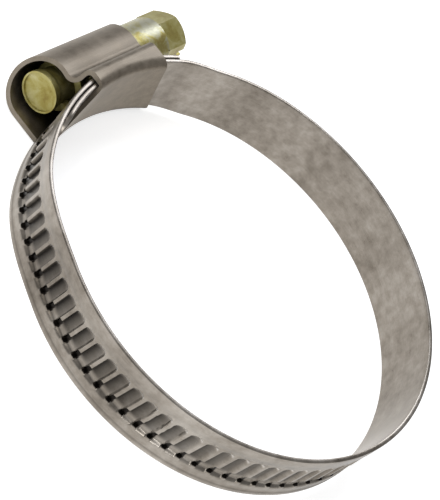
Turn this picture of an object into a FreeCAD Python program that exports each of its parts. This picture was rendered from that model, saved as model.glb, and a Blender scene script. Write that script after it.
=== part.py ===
import FreeCAD, Part
import math
import os
from FreeCAD import Placement, Rotation, Vector

# Worm-drive hose clamp. Millimetres. Origin: centre of the bore, halfway along the band's width.
# +Z is the bore's axis, +Y points at the middle of the housing, and the screw lies along X, head to +X.

# The band
BORE_RADIUS = 33.5
BAND_WIDTH = 12.0
BAND_THICKNESS = 0.7
TAIL_OVERHANG = 2.0  # free end past the housing's back at rest
BAND_SPLIT_ANGLE = 270.0  # where the free-end half meets the fixed half
SPLIT_GAP = 0.3

# The slots that the worm pulls on
TOOTH_PITCH = 2.68
RIB_WIDTH = 0.65
SLOT_TOP = 3.3
SLOT_FOOT = -4.1
LAST_SLOT_ANGLE = 264.0

# The housing, one wrapped sheet
SHEET_THICKNESS = 0.7
HOUSING_FRONT = 8.0
HOUSING_BACK = 12.0
MOUTH_SLANT = 0.4  # how far the mouth runs back for each millimetre towards +Z
BACK_SLANT = 0.3  # how far the back runs forward for each millimetre towards +Z
CORNER_RADIUS = 1.5
INNER_CORNER = 0.7
VALLEY_RADIUS = 1.2
TUNNEL_CLEARANCE = 0.7
LIP_INSET = 1.8
LIP_LENGTH = 0.8

# The worm screw
THREAD_CREST_RADIUS = 3.9
THREAD_DEPTH = 0.9
CREST_WIDTH = 0.75
ROOT_WIDTH = 1.5
THREAD_BITE = 0.45  # how deep the crest goes into a slot
TIP_STANDOUT = 0.6  # past the middle of the housing's mouth
TIP_RADIUS = 3.35
TIP_LENGTH = 0.9
TIP_LIP = 0.3
TAPER_LENGTH = 1.6
COLLAR_CLEARANCE = 0.1  # in the tunnel
COLLAR_LENGTH = 8.6
COLLAR_CHAMFER = 0.3
HEX_ACROSS_FLATS = 8.0
HEX_LENGTH = 5.4
HEX_CHAMFER = 0.8
HEX_TURN = 8.0
SLOT_WIDTH = 1.2
SLOT_DEPTH = 1.8

# Clearances
LAYER_GAP = 0.05  # between pieces of one body that lie on each other
SLIDE_GAP = 0.1  # between the sliding band and what it slides on
SIDE_GAP = 0.15  # between the band's edges and the housing's walls
CEILING_GAP = 0.4  # between the free half and the housing's shoulder
LIP_CLEARANCE = 0.08  # running fit of the screw's neck in the back lip
AXIAL_CLEARANCE = 0.15

# The band's route, as lengths along it
TONGUE_REACH = 16.7  # fixed end past the middle of the housing
TRAVEL_TURNS = 2.0  # turns of the screw that the free half can follow
DROP_CLEARANCE = 1.4
DROP_LENGTH = 17.0  # where the free half comes down to the bore
RISE_LENGTH = 7.6  # where the fixed half goes up on to the housing's plate
RISE_CLEARANCE = 0.2

# Worked out from the sizes above
plate_outer = BORE_RADIUS + SHEET_THICKNESS
fixed_inner = plate_outer + LAYER_GAP
free_inner = fixed_inner + BAND_THICKNESS + SLIDE_GAP
free_outer = free_inner + BAND_THICKNESS
pitch_radius = free_inner + BAND_THICKNESS / 2
slot_step = math.degrees(TOOTH_PITCH / pitch_radius)
slot_width = TOOTH_PITCH - RIB_WIDTH
wall_inner = BAND_WIDTH / 2 + SIDE_GAP
wall_outer = wall_inner + SHEET_THICKNESS
tunnel_inner = THREAD_CREST_RADIUS + TUNNEL_CLEARANCE
tunnel_outer = tunnel_inner + SHEET_THICKNESS
screw_y = free_outer - THREAD_BITE + THREAD_CREST_RADIUS
screw_z = tunnel_outer - wall_outer
ceiling = free_outer + CEILING_GAP
shoulder = ceiling + SHEET_THICKNESS
neck_radius = THREAD_CREST_RADIUS - THREAD_DEPTH
lip_back = HOUSING_BACK - LIP_INSET
lip_front = lip_back - LIP_LENGTH
tip_x = -HOUSING_FRONT - TIP_STANDOUT
collar_radius = tunnel_inner - COLLAR_CLEARANCE
tail_x = HOUSING_BACK + TAIL_OVERHANG
tail_angle = math.degrees(math.acos(tail_x / pitch_radius))
screw_axis = Vector(0, screw_y, screw_z)
back_reach = HOUSING_BACK + BACK_SLANT * wall_outer + RISE_CLEARANCE
fixed_rise_end = math.degrees(math.acos(back_reach / plate_outer))
fixed_rise_start = fixed_rise_end - math.degrees(RISE_LENGTH / BORE_RADIUS)
fixed_end_angle = 90.0 + math.degrees(TONGUE_REACH / fixed_inner)
drop_gap = TRAVEL_TURNS * TOOTH_PITCH + DROP_CLEARANCE
free_drop_start = fixed_end_angle + math.degrees(drop_gap / pitch_radius)
free_drop_end = free_drop_start + math.degrees(DROP_LENGTH / BORE_RADIUS)
ALONG_X = Vector(1, 0, 0)
ALONG_Z = Vector(0, 0, 1)
MARGIN = 5.0  # cutting tools reach this far past what they cut
SINK = 0.3  # how deep the thread's ridge starts inside the screw's core
TOUCH = 0.01  # two places nearer than this are the same place


def on_circle(radius, angle):
    """The point at this angle round the bore, on the band's middle plane."""
    turn = math.radians(angle)
    return Vector(radius * math.cos(turn), radius * math.sin(turn), 0)


def smooth(share):
    return share * share * (3 - 2 * share)


def ramp_edge(from_radius, to_radius, start, end, steps=12):
    """A smooth curve round the bore that moves from one radius to another."""
    points = []
    for i in range(steps + 1):
        share = i / steps
        radius = from_radius + (to_radius - from_radius) * smooth(share)
        points.append(on_circle(radius, start + (end - start) * share))
    curve = Part.BSplineCurve()
    tangents = [tangent_at(start), tangent_at(end)]
    curve.interpolate(Points=points, InitialTangent=tangents[0], FinalTangent=tangents[1])
    return curve.toShape()


def tangent_at(angle):
    turn = math.radians(angle)
    return Vector(-math.sin(turn), math.cos(turn), 0)


def arc_edge(radius, start, end):
    middle = on_circle(radius, (start + end) / 2)
    return Part.Arc(on_circle(radius, start), middle, on_circle(radius, end)).toShape()


def strip(stretches):
    """A strip of band: stretches are (inner radius at start, at end, start angle, end angle)."""
    inner = []
    outer = []
    for first, last, start, end in stretches:
        for edges, extra in ((inner, 0), (outer, BAND_THICKNESS)):
            if first == last:
                edges.append(arc_edge(first + extra, start, end))
            else:
                edges.append(ramp_edge(first + extra, last + extra, start, end))
    first_inner, last_inner = stretches[0][0], stretches[-1][1]
    first_angle, last_angle = stretches[0][2], stretches[-1][3]
    ends = [
        Part.makeLine(
            on_circle(radius, angle), on_circle(radius + BAND_THICKNESS, angle)
        )
        for radius, angle in ((first_inner, first_angle), (last_inner, last_angle))
    ]
    outline = Part.Wire(Part.__sortEdges__(inner + outer + ends))
    face = Part.Face(outline)
    face.translate(Vector(0, 0, -BAND_WIDTH / 2))
    return face.extrude(Vector(0, 0, BAND_WIDTH))


def free_radius(angle):
    """The inner radius of the band's free half at an angle."""
    share = (angle - free_drop_start) / (free_drop_end - free_drop_start)
    share = min(max(share, 0.0), 1.0)
    return free_inner + (BORE_RADIUS - free_inner) * smooth(share)


def slot_cutter(angle):
    """A block that cuts one slot, leaning as the thread leans."""
    lean = math.degrees(math.atan(TOOTH_PITCH / (2 * math.pi * THREAD_CREST_RADIUS)))
    depth = 3 * BAND_THICKNESS
    corner = Vector(-depth / 2, -slot_width / 2, SLOT_FOOT)
    block = Part.makeBox(depth, slot_width, SLOT_TOP - SLOT_FOOT, corner)
    block.rotate(Vector(0, 0, 0), ALONG_X, -lean)
    block.rotate(Vector(0, 0, 0), ALONG_Z, angle)
    block.translate(on_circle(free_radius(angle) + BAND_THICKNESS / 2, angle))
    return block


def slot_angles():
    """Slots lie one step apart, with a slot under the middle of the screw."""
    first = math.ceil((tail_angle + slot_step / 2 - 90.0) / slot_step)
    last = math.floor((LAST_SLOT_ANGLE - 90.0) / slot_step)
    return [90.0 + i * slot_step for i in range(first, last + 1)]


def band_free_end():
    split = BAND_SPLIT_ANGLE - math.degrees(SPLIT_GAP / 2 / BORE_RADIUS)
    band = strip(
        [
            (free_inner, free_inner, tail_angle, free_drop_start),
            (free_inner, BORE_RADIUS, free_drop_start, free_drop_end),
            (BORE_RADIUS, BORE_RADIUS, free_drop_end, split),
        ]
    )
    cutters = [slot_cutter(angle) for angle in slot_angles()]
    return band.cut(Part.makeCompound(cutters))


def band_fixed_end():
    split = BAND_SPLIT_ANGLE - 360.0 + math.degrees(SPLIT_GAP / 2 / BORE_RADIUS)
    band = strip(
        [
            (BORE_RADIUS, BORE_RADIUS, split, fixed_rise_start),
            (BORE_RADIUS, fixed_inner, fixed_rise_start, fixed_rise_end),
            (fixed_inner, fixed_inner, fixed_rise_end, fixed_end_angle),
        ]
    )
    corners = [
        edge
        for edge in band.Edges
        if edge.Vertexes[0].Point.sub(edge.Vertexes[-1].Point).Length < 2 * BAND_THICKNESS
        and abs(angle_of(edge) - fixed_end_angle) < 1.0
        and abs(abs(edge.CenterOfMass.z) - BAND_WIDTH / 2) < TOUCH
    ]
    return band.makeFillet(BAND_WIDTH / 4, corners)


def angle_of(edge):
    middle = edge.CenterOfMass
    return math.degrees(math.atan2(middle.y, middle.x))


def at(y, z):
    return Vector(0, y, z)


def wall_section(grow):
    """The housing's cross-section as a face in the YZ plane, grown by the sheet or not."""
    side = wall_inner + grow
    radius = tunnel_inner + grow
    top = ceiling + grow
    foot = BORE_RADIUS - 3 * MARGIN
    corner = INNER_CORNER + grow
    bulge = corner * (1 - math.sqrt(0.5))
    # The valley's arc touches both the tunnel and the shoulder
    valley = VALLEY_RADIUS + SHEET_THICKNESS - grow
    rise = top + valley - screw_y
    valley_z = screw_z + math.sqrt((radius + valley) ** 2 - rise**2)
    share = radius / (radius + valley)
    touch = at(screw_y + rise * share, screw_z + (valley_z - screw_z) * share)
    centre = at(top + valley, valley_z)
    to_middle = (touch - centre).normalize() + at(-1, 0)
    middle = centre + to_middle.normalize() * valley
    far = screw_z - radius
    edges = [
        Part.makeLine(at(foot, side), at(top - corner, side)),
        Part.Arc(
            at(top - corner, side), at(top - bulge, side - bulge), at(top, side - corner)
        ).toShape(),
        Part.makeLine(at(top, side - corner), at(top, valley_z)),
        Part.Arc(at(top, valley_z), middle, touch).toShape(),
        Part.Arc(touch, at(screw_y + radius, screw_z), at(screw_y, far)).toShape(),
        Part.makeLine(at(screw_y, far), at(foot, far)),
        Part.makeLine(at(foot, far), at(foot, side)),
    ]
    return Part.Face(Part.Wire(edges))


def extruded(face, start, end):
    solid = face.copy()
    solid.translate(Vector(start, 0, 0))
    return solid.extrude(Vector(end - start, 0, 0))


def disc(radius, x, length):
    return Part.makeCylinder(radius, length, screw_axis + Vector(x, 0, 0), ALONG_X)


def cone(first, last, x, length):
    return Part.makeCone(first, last, length, screw_axis + Vector(x, 0, 0), ALONG_X)


def bore_cylinder(radius):
    height = 4 * wall_outer
    return Part.makeCylinder(radius, height, Vector(0, 0, -height / 2), ALONG_Z)


def end_cutter(x, slant, side):
    """A block past one end of the housing, its face slanted; side is -1 at the mouth."""
    size = 8 * wall_outer
    start = 0 if side > 0 else -size
    block = Part.makeBox(size, size, size, Vector(start, -size / 2, -size / 2))
    block.rotate(Vector(0, 0, 0), Vector(0, 1, 0), math.degrees(math.atan(slant)))
    block.translate(Vector(x, screw_y, 0))
    return block


def lower_corners(solid):
    """The edges where the side walls turn under the band, outside and at the mouth's line."""
    found = []
    for edge in solid.Edges:
        middle = edge.CenterOfMass
        round_bore = isinstance(edge.Curve, Part.Circle)
        if not round_bore or abs(edge.Curve.Radius - BORE_RADIUS) > TOUCH:
            continue
        if abs(abs(middle.z) - wall_outer) < TOUCH:
            found.append(edge)
    return found


def housing():
    back = HOUSING_BACK + MARGIN
    front = -HOUSING_FRONT - MARGIN
    shell = extruded(wall_section(SHEET_THICKNESS), front, back)
    shell = shell.cut(bore_cylinder(BORE_RADIUS))
    shell = shell.cut(end_cutter(-HOUSING_FRONT, MOUTH_SLANT, -1))
    shell = shell.cut(end_cutter(HOUSING_BACK, -BACK_SLANT, 1))
    shell = shell.makeFillet(CORNER_RADIUS, lower_corners(shell))
    cavity = extruded(wall_section(0.0), front - MARGIN, back + MARGIN)
    cavity = cavity.cut(bore_cylinder(plate_outer))
    hollow = shell.cut(cavity)
    return hollow.fuse(back_lip()).removeSplitter()


def back_lip():
    """The turned-in ring that holds the screw's neck, open below for the band."""
    ring = disc(tunnel_inner + SHEET_THICKNESS / 2, lip_front, LIP_LENGTH)
    ring = ring.cut(disc(neck_radius + LIP_CLEARANCE, lip_front - MARGIN, 2 * MARGIN))
    size = 4 * tunnel_outer
    below = Part.makeBox(
        size, size, size, Vector(lip_front - size / 2, ceiling - size, -size / 2)
    )
    return ring.cut(below)


def thread():
    """The worm's ridge, right-handed, with its crest in the middle slot at the band."""
    root = THREAD_CREST_RADIUS - THREAD_DEPTH
    start = tip_x + TIP_LENGTH + TAPER_LENGTH
    end = lip_front - AXIAL_CLEARANCE - ROOT_WIDTH / 2
    first_x = -math.floor(-start / TOOTH_PITCH) * TOOTH_PITCH
    turns = math.floor((end - first_x) / TOOTH_PITCH * 2) / 2
    height = turns * TOOTH_PITCH
    helix = Part.makeHelix(TOOTH_PITCH, height, root)
    slope = (ROOT_WIDTH - CREST_WIDTH) / 2 / THREAD_DEPTH
    corners = [
        Vector(root - SINK, 0, -ROOT_WIDTH / 2 - SINK * slope),
        Vector(THREAD_CREST_RADIUS, 0, -CREST_WIDTH / 2),
        Vector(THREAD_CREST_RADIUS, 0, CREST_WIDTH / 2),
        Vector(root - SINK, 0, ROOT_WIDTH / 2 + SINK * slope),
    ]
    profile = Part.makePolygon(corners + corners[:1])
    ridge = Part.Wire(helix.Edges).makePipeShell([profile], True, True)
    # The helix starts at its own +X side: turned so that this side faces the band
    to_band = Rotation(Vector(0, -1, 0), Vector(0, 0, -1), ALONG_X, "ZXY")
    ridge.Placement = Placement(screw_axis + Vector(first_x, 0, 0), to_band)
    return ridge


def hexagon(x, length):
    corner = HEX_ACROSS_FLATS / math.sqrt(3)
    points = []
    for i in range(7):
        turn = math.radians(60 * i + HEX_TURN)
        points.append(
            screw_axis + Vector(x, corner * math.sin(turn), corner * math.cos(turn))
        )
    return Part.Face(Part.makePolygon(points)).extrude(Vector(length, 0, 0))


def screw():
    root = neck_radius
    body = disc(TIP_RADIUS, tip_x, TIP_LENGTH)
    body = body.fuse(cone(TIP_RADIUS, root, tip_x + TIP_LENGTH, TAPER_LENGTH / 2))
    shaft_start = tip_x + TIP_LENGTH + TAPER_LENGTH / 2
    collar_x = lip_back + AXIAL_CLEARANCE
    body = body.fuse(disc(root, shaft_start, collar_x - shaft_start))
    body = body.fuse(thread())
    body = body.cut(disc(TIP_RADIUS - TIP_LIP, tip_x - MARGIN, MARGIN + TIP_LIP))
    rounded = collar_radius - COLLAR_CHAMFER
    collar = cone(rounded, collar_radius, collar_x, COLLAR_CHAMFER)
    collar = collar.fuse(
        disc(collar_radius, collar_x + COLLAR_CHAMFER, COLLAR_LENGTH - COLLAR_CHAMFER)
    )
    hex_x = collar_x + COLLAR_LENGTH
    head = hexagon(hex_x, HEX_LENGTH)
    envelope_radius = HEX_ACROSS_FLATS / math.sqrt(3) + LAYER_GAP
    envelope = disc(envelope_radius, hex_x - MARGIN, MARGIN + HEX_LENGTH - HEX_CHAMFER)
    crown = cone(
        envelope_radius,
        envelope_radius - HEX_CHAMFER,
        hex_x + HEX_LENGTH - HEX_CHAMFER,
        HEX_CHAMFER,
    )
    head = head.common(envelope.fuse(crown))
    slot_x = hex_x + HEX_LENGTH - SLOT_DEPTH
    corner = screw_axis + Vector(slot_x, -2 * collar_radius, -SLOT_WIDTH / 2)
    driver = Part.makeBox(SLOT_DEPTH + MARGIN, 4 * collar_radius, SLOT_WIDTH, corner)
    driver.rotate(screw_axis, ALONG_X, -HEX_TURN)
    head = head.cut(driver)
    return body.fuse(collar).fuse(head).removeSplitter()


PIECES = {
    "band_free_end": band_free_end,
    "band_fixed_end": band_fixed_end,
    "housing": housing,
    "worm_screw": screw,
}


def main():
    os.makedirs("parts", exist_ok=True)
    for name, make in PIECES.items():
        shape = make()
        solids = shape.Solids
        if len(solids) == 1:
            shape = solids[0]
        shape.exportStep(os.path.join("parts", name + ".step"))
        print(name, len(solids), "solid", shape.isValid(), round(shape.Volume, 1), "mm3")
    ratio = TOOTH_PITCH / (2 * math.pi * pitch_radius)
    print("screw axis", round(screw_y, 3), round(screw_z, 3), "band turn per screw turn", ratio)


main()
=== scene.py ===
import math

import bpy
from mathutils import Matrix, Vector


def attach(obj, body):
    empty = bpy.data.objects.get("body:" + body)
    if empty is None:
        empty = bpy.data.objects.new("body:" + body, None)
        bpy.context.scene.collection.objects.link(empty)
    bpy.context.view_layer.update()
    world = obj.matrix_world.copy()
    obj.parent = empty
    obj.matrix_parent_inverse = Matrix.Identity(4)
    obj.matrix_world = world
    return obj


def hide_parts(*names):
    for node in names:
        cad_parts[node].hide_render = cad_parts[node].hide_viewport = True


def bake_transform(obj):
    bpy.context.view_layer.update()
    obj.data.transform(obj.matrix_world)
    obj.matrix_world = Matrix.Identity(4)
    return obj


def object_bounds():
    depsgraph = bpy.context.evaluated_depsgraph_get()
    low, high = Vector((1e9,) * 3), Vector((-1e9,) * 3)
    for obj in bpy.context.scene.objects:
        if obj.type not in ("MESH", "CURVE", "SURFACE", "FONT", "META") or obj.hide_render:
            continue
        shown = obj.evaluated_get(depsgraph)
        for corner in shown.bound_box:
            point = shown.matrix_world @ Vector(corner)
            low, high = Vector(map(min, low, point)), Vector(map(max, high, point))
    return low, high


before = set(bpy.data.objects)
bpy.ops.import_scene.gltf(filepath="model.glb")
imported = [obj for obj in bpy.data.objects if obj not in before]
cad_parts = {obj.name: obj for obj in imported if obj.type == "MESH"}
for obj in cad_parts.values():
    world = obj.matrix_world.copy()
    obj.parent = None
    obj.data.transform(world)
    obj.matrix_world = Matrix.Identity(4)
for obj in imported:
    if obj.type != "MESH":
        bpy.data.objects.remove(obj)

MM = 0.001
cad_low, cad_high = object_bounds()

# The band, in millimetres, as the CAD has it
WIDTH = 12.0
THICKNESS = 0.7
BORE_RADIUS = 33.5
FIXED_INNER = 34.25
FREE_INNER = 35.05
TAIL_X = 14.0
TOOTH_PITCH = 2.68
PITCH_RADIUS = FREE_INNER + THICKNESS / 2
TAIL_ANGLE = math.degrees(math.acos(TAIL_X / PITCH_RADIUS))
SLOT_STEP = math.degrees(TOOTH_PITCH / PITCH_RADIUS)
LAST_SLOT_ANGLE = 264.0
# Where the band's slopes and its fixed end lie round the ring, in degrees
FREE_DROP = (128.88, 157.96)
FIXED_RISE = (52.37, 65.37)
FIXED_END_ANGLE = 117.94

# The pressed teeth, in millimetres
RIB_WIDTH = 0.5
POCKET_DEPTH = 0.62
POCKET_TOP = 3.2
POCKET_FOOT = -3.6
RIB_FOOT = -1.2
PIT_FOOT = -3.1
PIT_WIDTH = 1.0
PIT_FOOT_SHARE = 1.25  # of the width at the pit's foot, less the taper at its top
PIT_TAPER = 0.6
PIT_DEPTH = 0.62
SCOOP_LENGTH = 0.9
STEP_TOP = 3.9
STEP_FOOT = -5.0
STEP_DEPTH = 0.08
STEP_BLEND = 0.15
TOP_BOW = 0.45  # how far a pocket's +Z end curves back at its sides
FOOT_LENGTH = 0.8
STEEP_WALL = 0.16  # walls as shares of a pocket's half width
GENTLE_WALL = 0.35
FLOOR_MEAN = 0.88
FLOOR_TILT = 0.12
PIT_WALL = 0.15
PIT_END_STEEPNESS = 10.0
TONGUE_ROUND = 3.0
TOOTH_SHIFT = 0.45  # from the tail to the first tooth, in steps
EDGE_ROUND = 0.14
THREAD_CREST_RADIUS = 3.9
THREAD_LEAN = math.atan(TOOTH_PITCH / (2 * math.pi * THREAD_CREST_RADIUS))

# How much painted shade the teeth get, from 0 to 1; the scoops' painted highlight goes below 0
FLOOR_PAINTED_SHADE = 0.8
FLOOR_PAINTED_SHADE_TILT = 0.25
FOOT_PAINTED_SHADE = 0.4
SCOOP_PAINTED_HIGHLIGHT = 0.8
STEP_TOP_PAINTED_SHADE = 0.3
STEP_FOOT_PAINTED_SHADE = 0.4
PIT_PAINTED_SHADE_REACH = 0.2  # outside the pit, in pit_reach's measure

# The strip's mesh
COLUMNS_PER_TOOTH = 20
PLAIN_COLUMNS_PER_TOOTH = 5
POCKET_ROWS = 44
ROW_SPACING = 0.16
SPACER_ROWS = (-5.5, -4.2, 4.8)  # these only keep the faces near the edges short
LEAN_EASE = 1.5  # in steps
SHARP_ANGLE = 38

COLLAR = (10.4, 18.8)  # where the screw's finish is worn, along the screw

# The ring is made as three runs that meet end to end; the lower one is attached to no body
LOWER_RUN = (200.0, 340.0)


def linear(hex_colour):
    """An sRGB hex value as linear RGBA."""
    parts = [int(hex_colour[i : i + 2], 16) / 255 for i in (1, 3, 5)]
    parts = [c / 12.92 if c <= 0.04045 else ((c + 0.055) / 1.055) ** 2.4 for c in parts]
    return (*parts, 1.0)


def smooth(share):
    share = min(max(share, 0.0), 1.0)
    return share * share * (3 - 2 * share)


# ---------------------------------------------------------------- camera, floor and light

CAMERA_PLACE = Vector((-159.4, -8.75, 142.9)) * MM
CAMERA_AIM = Vector((-0.06, 3.92, 0.0)) * MM
CAMERA_ROLL = math.radians(48.93)
LENS = 100.8
FLOOR_HALF = 3.0  # in metres, as the gap
FLOOR_GAP = 0.0002


def look(place, aim, roll=0.0):
    """The matrix of something at place that looks at aim, turned by roll about its view."""
    turn = (aim - place).to_track_quat("-Z", "Y").to_matrix().to_4x4()
    return Matrix.Translation(place) @ turn @ Matrix.Rotation(roll, 4, "Z")


def add_camera():
    data = bpy.data.cameras.new("camera")
    data.lens = LENS
    data.sensor_width = 36.0
    data.clip_start = 0.01
    camera = bpy.data.objects.new("camera", data)
    bpy.context.scene.collection.objects.link(camera)
    camera.matrix_world = look(CAMERA_PLACE, CAMERA_AIM, CAMERA_ROLL)
    bpy.context.scene.camera = camera


def add_light(name, place, size, power, colour="#ffffff"):
    data = bpy.data.lights.new(name, "AREA")
    data.shape = "DISK"
    data.size = size * MM
    data.energy = power
    data.color = linear(colour)[:3]
    light = bpy.data.objects.new(name, data)
    bpy.context.scene.collection.objects.link(light)
    light.matrix_world = look(Vector(place) * MM, Vector((0, 0, 0)))


def add_stage():
    mesh = bpy.data.meshes.new("floor")
    z = cad_low[2] - FLOOR_GAP
    corners = [(x * FLOOR_HALF, y * FLOOR_HALF, z) for x, y in ((-1, -1), (1, -1), (1, 1), (-1, 1))]
    mesh.from_pydata(corners, [], [(0, 1, 2, 3)])
    floor = bpy.data.objects.new("floor", mesh)
    bpy.context.scene.collection.objects.link(floor)
    mesh.materials.append(matt_paper())
    world = bpy.data.worlds.new("studio")
    bpy.context.scene.world = world
    world.use_nodes = True
    background = world.node_tree.nodes["Background"]
    background.inputs["Color"].default_value = linear("#f4f5f7")
    background.inputs["Strength"].default_value = 0.45
    add_light("key", (-260, 260, 420), 260, 0.9, "#fffaf2")
    add_light("side", (-420, -260, 160), 160, 0.6)
    add_light("back", (320, 120, 260), 180, 0.6, "#f2f6ff")
    bpy.context.scene.view_settings.view_transform = "Standard"


# ---------------------------------------------------------------- materials


def material(name):
    mat = bpy.data.materials.new(name)
    mat.use_nodes = True
    tree = mat.node_tree
    return mat, tree, tree.nodes["Principled BSDF"]


def add(tree, kind, settings=None, **links):
    """Adds a node. Settings are its own properties or constants for its inputs, and links
    feed its inputs, spaces in their names written as underscores."""
    node = tree.nodes.new(kind)
    for key, value in (settings or {}).items():
        if isinstance(key, str) and hasattr(node, key):
            setattr(node, key, value)
        else:
            node.inputs[key].default_value = value
    for key, source in links.items():
        place = int(key[1:]) if key[0] == "i" and key[1:].isdigit() else key.replace("_", " ")
        tree.links.new(source, node.inputs[place])
    return node


def ramp(tree, factor, stops):
    node = add(tree, "ShaderNodeValToRGB", Fac=factor)
    elements = node.color_ramp.elements
    while len(elements) < len(stops):
        elements.new(0.5)
    for element, (place, colour) in zip(elements, stops):
        element.position = place
        element.color = linear(colour)
    return node.outputs["Color"]


def stretched(tree, source, scale):
    return add(tree, "ShaderNodeMapping", {"Scale": scale}, Vector=source).outputs[0]


def matt_paper():
    """Seamless white paper: it scatters light evenly and shows only a soft contact shadow."""
    mat, tree, shader = material("seamless_white_paper")
    shader.inputs["Base Color"].default_value = linear("#fbfbfb")
    shader.inputs["Roughness"].default_value = 0.9
    shader.inputs["Specular IOR Level"].default_value = 0.1
    # A light table's glow, which keeps the paper white under the part
    shader.inputs["Emission Color"].default_value = linear("#ffffff")
    shader.inputs["Emission Strength"].default_value = 0.6
    return mat


def steel(name, source_kind, along, stops, roughness, mottle_mm, scratch_bump, dark):
    """Rolled stainless sheet: satin, with fine lines along the rolling direction and a mottle.
    The output of dark is how much painted shade a place gets, up to 1, and below 0 how much painted
    highlight it gets."""
    mat, tree, shader = material(name)
    shader.inputs["Metallic"].default_value = 1.0
    source = add(tree, "ShaderNodeTexCoord").outputs[source_kind]
    unit = 1000.0 if source_kind == "Object" else 1.0
    mottle_scale = unit / mottle_mm
    mottle = add(
        tree,
        "ShaderNodeTexNoise",
        {"Scale": mottle_scale, "Detail": 5.0, "Roughness": 0.62},
        Vector=source,
    ).outputs["Fac"]
    # Rolling lines 0.08 mm apart across, 3 mm long
    squeeze = tuple(unit / 3.0 if axis == along else unit / 0.08 for axis in range(3))
    lines = add(
        tree,
        "ShaderNodeTexNoise",
        {"Scale": 1.0, "Detail": 3.0, "Roughness": 0.6},
        Vector=stretched(tree, source, squeeze),
    ).outputs["Fac"]
    both = add(tree, "ShaderNodeMath", {"operation": "MULTIPLY_ADD", 1: 0.35}, i0=lines, i2=mottle)
    # Broad sheens across the strip, about 14 mm apart
    broad = tuple(unit / 14.0 if axis == along else unit / 90.0 for axis in range(3))
    sheen = add(
        tree,
        "ShaderNodeTexNoise",
        {"Scale": 1.0, "Detail": 1.0, "Roughness": 0.4},
        Vector=stretched(tree, source, broad),
    ).outputs["Fac"]
    sheen = add(tree, "ShaderNodeMath", {"operation": "MULTIPLY_ADD", 1: 1.1, 2: -0.55}, i0=sheen)
    both = add(tree, "ShaderNodeMath", {}, i0=both.outputs[0], i1=sheen.outputs[0])
    tone = add(tree, "ShaderNodeMath", {"operation": "MULTIPLY", 1: 0.75}, i0=both.outputs[0])
    colour = ramp(tree, tone.outputs[0], stops)
    darkness = dark(tree)
    painted_highlight = add(
        tree, "ShaderNodeMath", {"operation": "MULTIPLY", 1: -1.0, "use_clamp": True}, i0=darkness
    ).outputs[0]
    painted_light = colour
    # Painted shade darkens the base colour and painted highlight lightens it
    for factor, shade in ((darkness, "#1d1a17"), (painted_highlight, "#f4f1ec")):
        painted_light = add(
            tree,
            "ShaderNodeMix",
            {"data_type": "RGBA", 7: linear(shade)},
            i0=factor,
            i6=painted_light,
        ).outputs[2]
    tree.links.new(painted_light, shader.inputs["Base Color"])
    rough = add(
        tree,
        "ShaderNodeMapRange",
        {"From Min": 0.3, "From Max": 0.7, "To Min": roughness[0], "To Max": roughness[1]},
        Value=mottle,
    )
    tree.links.new(rough.outputs["Result"], shader.inputs["Roughness"])
    bump = add(
        tree,
        "ShaderNodeBump",
        {"Strength": scratch_bump, "Distance": 0.00002},
        Height=both.outputs[0],
    )
    tree.links.new(bump.outputs["Normal"], shader.inputs["Normal"])
    return mat


def band_painted_light(tree):
    """Painted shade stored on the band's mesh, and below 0 a painted highlight."""
    return add(tree, "ShaderNodeAttribute", {"attribute_name": "band_painted_light"}).outputs["Fac"]


def housing_painted_shade(tree):
    """Painted shade inside the housing: ambient occlusion darkens the base colour where little
    light comes.
    """
    open_sky = add(
        tree, "ShaderNodeAmbientOcclusion", {"samples": 8, "Distance": 0.005}
    ).outputs["AO"]
    node = add(
        tree,
        "ShaderNodeMapRange",
        {"From Min": 0.2, "From Max": 0.75, "To Min": 0.95, "To Max": 0.0},
        Value=open_sky,
    )
    return node.outputs["Result"]


def satin_strip():
    return steel(
        "rolled_stainless_strip",
        "UV",
        0,
        [(0.25, "#6b645b"), (0.5, "#8d867d"), (0.8, "#b0aaa2")],
        (0.26, 0.42),
        2.2,
        0.35,
        band_painted_light,
    )


def pressed_sheet():
    return steel(
        "pressed_stainless_sheet",
        "Object",
        0,
        [(0.25, "#71685b"), (0.5, "#8b8275"), (0.8, "#a1988b")],
        (0.46, 0.6),
        1.8,
        0.4,
        housing_painted_shade,
    )


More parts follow.
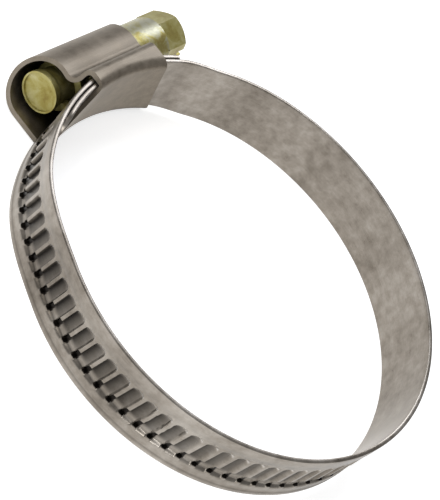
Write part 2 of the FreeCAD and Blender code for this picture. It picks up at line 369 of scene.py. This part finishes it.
def passivated_zinc():
    """Yellow chromate over zinc plate: olive to gold film, worn to whitish zinc on the collar."""
    mat, tree, shader = material("yellow_passivated_zinc")
    shader.inputs["Metallic"].default_value = 0.75
    source = add(tree, "ShaderNodeTexCoord").outputs["Object"]
    cloud = add(
        tree,
        "ShaderNodeTexNoise",
        {"Scale": 1000.0 / 3.0, "Detail": 4.0, "Roughness": 0.6, "Distortion": 0.6},
        Vector=source,
    ).outputs["Fac"]
    grain = add(
        tree,
        "ShaderNodeTexNoise",
        {"Scale": 1000.0 / 0.5, "Detail": 4.0, "Roughness": 0.7},
        Vector=source,
    ).outputs["Fac"]
    mixed = add(tree, "ShaderNodeMath", {"operation": "MULTIPLY_ADD", 1: 0.3}, i0=grain, i2=cloud)
    tone = add(tree, "ShaderNodeMath", {"operation": "MULTIPLY", 1: 0.77}, i0=mixed.outputs[0])
    stops = [
        (0.3, "#7d6a35"),
        (0.42, "#938848"),
        (0.52, "#a29a60"),
        (0.62, "#aea777"),
        (0.74, "#bcb896"),
    ]
    film = ramp(tree, tone.outputs[0], stops)
    # The collar lies between these two places along the screw
    along = add(tree, "ShaderNodeSeparateXYZ", Vector=source).outputs["X"]
    bands = []
    for low, high in ((COLLAR[0] - 0.4, COLLAR[0]), (COLLAR[1] + 0.4, COLLAR[1])):
        edge = add(
            tree,
            "ShaderNodeMapRange",
            {"From Min": low * MM, "From Max": high * MM},
            Value=along,
        )
        bands.append(edge.outputs["Result"])
    both = add(tree, "ShaderNodeMath", {"operation": "MULTIPLY"}, i0=bands[0], i1=bands[1])
    worn = ramp(tree, mixed.outputs[0], [(0.55, "#303030"), (0.75, "#d8d8d8")])
    share = add(tree, "ShaderNodeMath", {"operation": "MULTIPLY"}, i0=both.outputs[0], i1=worn)
    colour = add(
        tree,
        "ShaderNodeMix",
        {"data_type": "RGBA", 7: linear("#adada2")},
        i0=share.outputs[0],
        i6=film,
    ).outputs[2]
    tree.links.new(colour, shader.inputs["Base Color"])
    rough = add(
        tree,
        "ShaderNodeMapRange",
        {"From Min": 0.3, "From Max": 0.7, "To Min": 0.34, "To Max": 0.55},
        Value=grain,
    )
    tree.links.new(rough.outputs["Result"], shader.inputs["Roughness"])
    bump = add(tree, "ShaderNodeBump", {"Strength": 0.4, "Distance": 0.00003}, Height=grain)
    tree.links.new(bump.outputs["Normal"], shader.inputs["Normal"])
    return mat


# ---------------------------------------------------------------- the band


def free_radius(angle):
    share = (angle - FREE_DROP[0]) / (FREE_DROP[1] - FREE_DROP[0])
    return FREE_INNER + (BORE_RADIUS - FREE_INNER) * smooth(share)


def fixed_radius(angle):
    share = (angle - 360.0 - FIXED_RISE[0]) / (FIXED_RISE[1] - FIXED_RISE[0])
    return BORE_RADIUS + (FIXED_INNER - BORE_RADIUS) * smooth(share)


def off_middle(steps, z):
    """How far, in steps, a place is from the middle of its pocket, which leans as the thread."""
    leaned = steps - z * math.tan(THREAD_LEAN) / TOOTH_PITCH
    return (leaned + 0.5) % 1.0 - 0.5


def peak(value, middle, reach):
    """1 at the middle, falling smoothly to 0 at this reach on either side."""
    return smooth(1.0 - abs(value - middle) / reach)


def pit_reach(across, z):
    """How far inside the tapered pit below a rib's foot a place is: below 0 is outside."""
    share = (z - PIT_FOOT) / (RIB_FOOT - PIT_FOOT)
    width = PIT_WIDTH * (PIT_FOOT_SHARE - PIT_TAPER * share)
    off_rib = (0.5 - abs(across)) * TOOTH_PITCH
    side_reach = (width / 2 - off_rib) / PIT_WALL
    return min(side_reach, share * PIT_END_STEEPNESS, (1.0 - share) * PIT_END_STEEPNESS)


def tooth_shape(steps, z):
    """How deep the strip is pressed in at a place, and how much painted shade it gets (below 0, a
    painted highlight). A tooth is a tongue-shaped pocket with a steep wall on one side and a scoop
    at its +Z end, and a deep pit below each rib's foot."""
    step = STEP_DEPTH * smooth((STEP_TOP - z) / STEP_BLEND)
    step *= smooth((z - STEP_FOOT) / STEP_BLEND)
    across = off_middle(steps, z)
    side = across / ((1.0 - RIB_WIDTH / TOOTH_PITCH) / 2)
    from_top = POCKET_TOP - z - TOP_BOW * side**2
    from_foot = z - POCKET_FOOT
    walls = smooth((1.0 - side) / GENTLE_WALL) * smooth((1.0 + side) / STEEP_WALL)
    ends = math.sin(math.pi / 2 * min(max(from_top / SCOOP_LENGTH, 0.0), 1.0))
    ends *= smooth(from_foot / FOOT_LENGTH)
    floor = FLOOR_MEAN - FLOOR_TILT * max(min(side, 1.0), -1.0)
    pressed = walls * ends * floor
    inside = pit_reach(across, z)
    # Painted shade on the floor, at the foot and along the steps, and a painted highlight on the
    # scoop
    painted_light = (FLOOR_PAINTED_SHADE - FLOOR_PAINTED_SHADE_TILT * side) * pressed
    painted_light *= smooth(from_top / 1.3) * smooth((from_foot - 0.9) / 1.2)
    painted_light += FOOT_PAINTED_SHADE * walls * peak(from_foot, 0.5, 0.7)
    painted_light -= SCOOP_PAINTED_HIGHLIGHT * walls * peak(from_top, 0.4, 0.4)
    painted_light += STEP_TOP_PAINTED_SHADE * peak(z, STEP_TOP + 0.3, 0.4)
    painted_light += STEP_FOOT_PAINTED_SHADE * peak(z, STEP_FOOT, 0.2)
    depth = max(step + POCKET_DEPTH * pressed, PIT_DEPTH * smooth(inside))
    # The pit and a rim round it get near-black painted shade
    if inside >= -PIT_PAINTED_SHADE_REACH:
        painted_light = max(painted_light, smooth((inside + PIT_PAINTED_SHADE_REACH) * 2.0))
    return depth, painted_light


def widths():
    """The rows across the strip: fine at its edges and over the teeth."""
    half = WIDTH / 2
    edge = [half, half - EDGE_ROUND / 3, half - EDGE_ROUND]
    rows = [*SPACER_ROWS, *edge, *(-z for z in edge)]
    rows += [STEP_FOOT, STEP_FOOT + STEP_BLEND, STEP_TOP - STEP_BLEND, STEP_TOP]
    rows += [POCKET_FOOT + (i - 0.5) * ROW_SPACING for i in range(POCKET_ROWS)]
    return sorted(set(round(z, 4) for z in rows))


def edge_drop(z):
    """How far the strip's rounded edge falls away from its faces."""
    into = EDGE_ROUND - (WIDTH / 2 - abs(z))
    if into <= 0:
        return 0.0
    return EDGE_ROUND - math.sqrt(max(EDGE_ROUND**2 - into**2, 0.0))


def strip_mesh(name, start, end, radius_at, toothed, end_round=0.0):
    """A closed strip of band from one angle to another, with its teeth and pits."""
    rows = widths()
    first = (start - 90.0) / SLOT_STEP
    last = (end - 90.0) / SLOT_STEP
    columns = [first]
    tick = math.floor(first * COLUMNS_PER_TOOTH) + 1
    spacing = 1 if toothed else COLUMNS_PER_TOOTH // PLAIN_COLUMNS_PER_TOOTH
    while tick / COLUMNS_PER_TOOTH < last - 1e-6:
        columns.append(tick / COLUMNS_PER_TOOTH)
        tick += spacing
    columns.append(last)
    verts, uvs, darks = [], [], []
    tooth_first = (TAIL_ANGLE - 90.0) / SLOT_STEP + TOOTH_SHIFT
    tooth_last = (LAST_SLOT_ANGLE - 90.0) / SLOT_STEP + TOOTH_SHIFT

    def has_teeth(steps):
        return toothed and tooth_first < steps < tooth_last

    half = WIDTH / 2
    for column in columns:
        squeeze = 1.0
        if end_round:
            left = math.radians((last - column) * SLOT_STEP) * FIXED_INNER
            if left < end_round:
                fall = 1.0 - math.sqrt(max(1.0 - (1.0 - left / end_round) ** 2, 0.0))
                squeeze = 1.0 - fall * end_round / half
        # The mesh leans with the teeth, and stands straight at the run's ends
        lean = math.tan(THREAD_LEAN) / TOOTH_PITCH if toothed else 0.0
        lean *= smooth((column - first) / LEAN_EASE) * smooth((last - column) / LEAN_EASE)
        for z in rows:
            steps = column + z * lean
            angle = 90.0 + steps * SLOT_STEP
            turn = math.radians(angle)
            inner = radius_at(angle)
            drop = edge_drop(z)
            depth, dark = tooth_shape(steps, z) if has_teeth(steps) else (0.0, 0.0)
            outer = inner + THICKNESS - max(drop, depth)
            for radius in (inner + drop, outer):
                place = Vector((radius * math.cos(turn), radius * math.sin(turn), z * squeeze))
                verts.append(place * MM)
            uvs.append((math.radians(angle) * BORE_RADIUS, z))
            darks.append(dark)
    count = len(rows)

    def vertex(column, row, side):
        return 2 * (column * count + row) + side

    faces = []
    for c in range(len(columns) - 1):
        for r in range(count - 1):
            ring = [(c, r), (c + 1, r), (c + 1, r + 1), (c, r + 1)]
            faces.append([vertex(a, b, 1) for a, b in ring])
            faces.append([vertex(a, b, 0) for a, b in reversed(ring)])
            borders = (r == 0, c == len(columns) - 2, r == count - 2, c == 0)
            for i, at_border in enumerate(borders):
                if at_border:
                    a, b = ring[i], ring[(i + 1) % 4]
                    faces.append([vertex(*a, 0), vertex(*b, 0), vertex(*b, 1), vertex(*a, 1)])
    mesh = bpy.data.meshes.new(name)
    mesh.from_pydata(verts, [], faces)
    layer = mesh.uv_layers.new(name="strip_mm")
    for loop in mesh.loops:
        layer.data[loop.index].uv = uvs[loop.vertex_index // 2]
    # Odd vertices are on the outer face, the only one that is pressed
    # Painted shade and highlight from tooth_shape, kept on the outer face's vertices
    stored = mesh.attributes.new("band_painted_light", "FLOAT", "POINT")
    for v in range(len(verts)):
        stored.data[v].value = darks[v // 2] if v % 2 else 0.0
    mesh.shade_smooth()
    mesh.set_sharp_from_angle(angle=math.radians(SHARP_ANGLE))
    strip = bpy.data.objects.new(name, mesh)
    bpy.context.scene.collection.objects.link(strip)
    return strip


def whole_ring_radius(angle):
    return free_radius(angle) if angle < 270.0 else fixed_radius(angle)


def build_band():
    finish = satin_strip()
    low, high = LOWER_RUN
    toothed = strip_mesh("band_toothed_run", TAIL_ANGLE, low, free_radius, True)
    lower = strip_mesh("band_lower_run", low, high, whole_ring_radius, True)
    plain = strip_mesh(
        "band_plain_run", high, 360.0 + FIXED_END_ANGLE, fixed_radius, False, end_round=TONGUE_ROUND
    )
    for piece in (toothed, lower, plain):
        piece.data.materials.append(finish)
    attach(toothed, "free_end")
    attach(plain, "clamp")
    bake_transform(lower)
    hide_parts("band_free_end")
    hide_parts("band_fixed_end")


def finish_cad_nodes():
    for node, finish in (("housing", pressed_sheet()), ("worm_screw", passivated_zinc())):
        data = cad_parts[node]
        for place in data.material_slots:
            place.material = finish


add_camera()
add_stage()
build_band()
finish_cad_nodes()
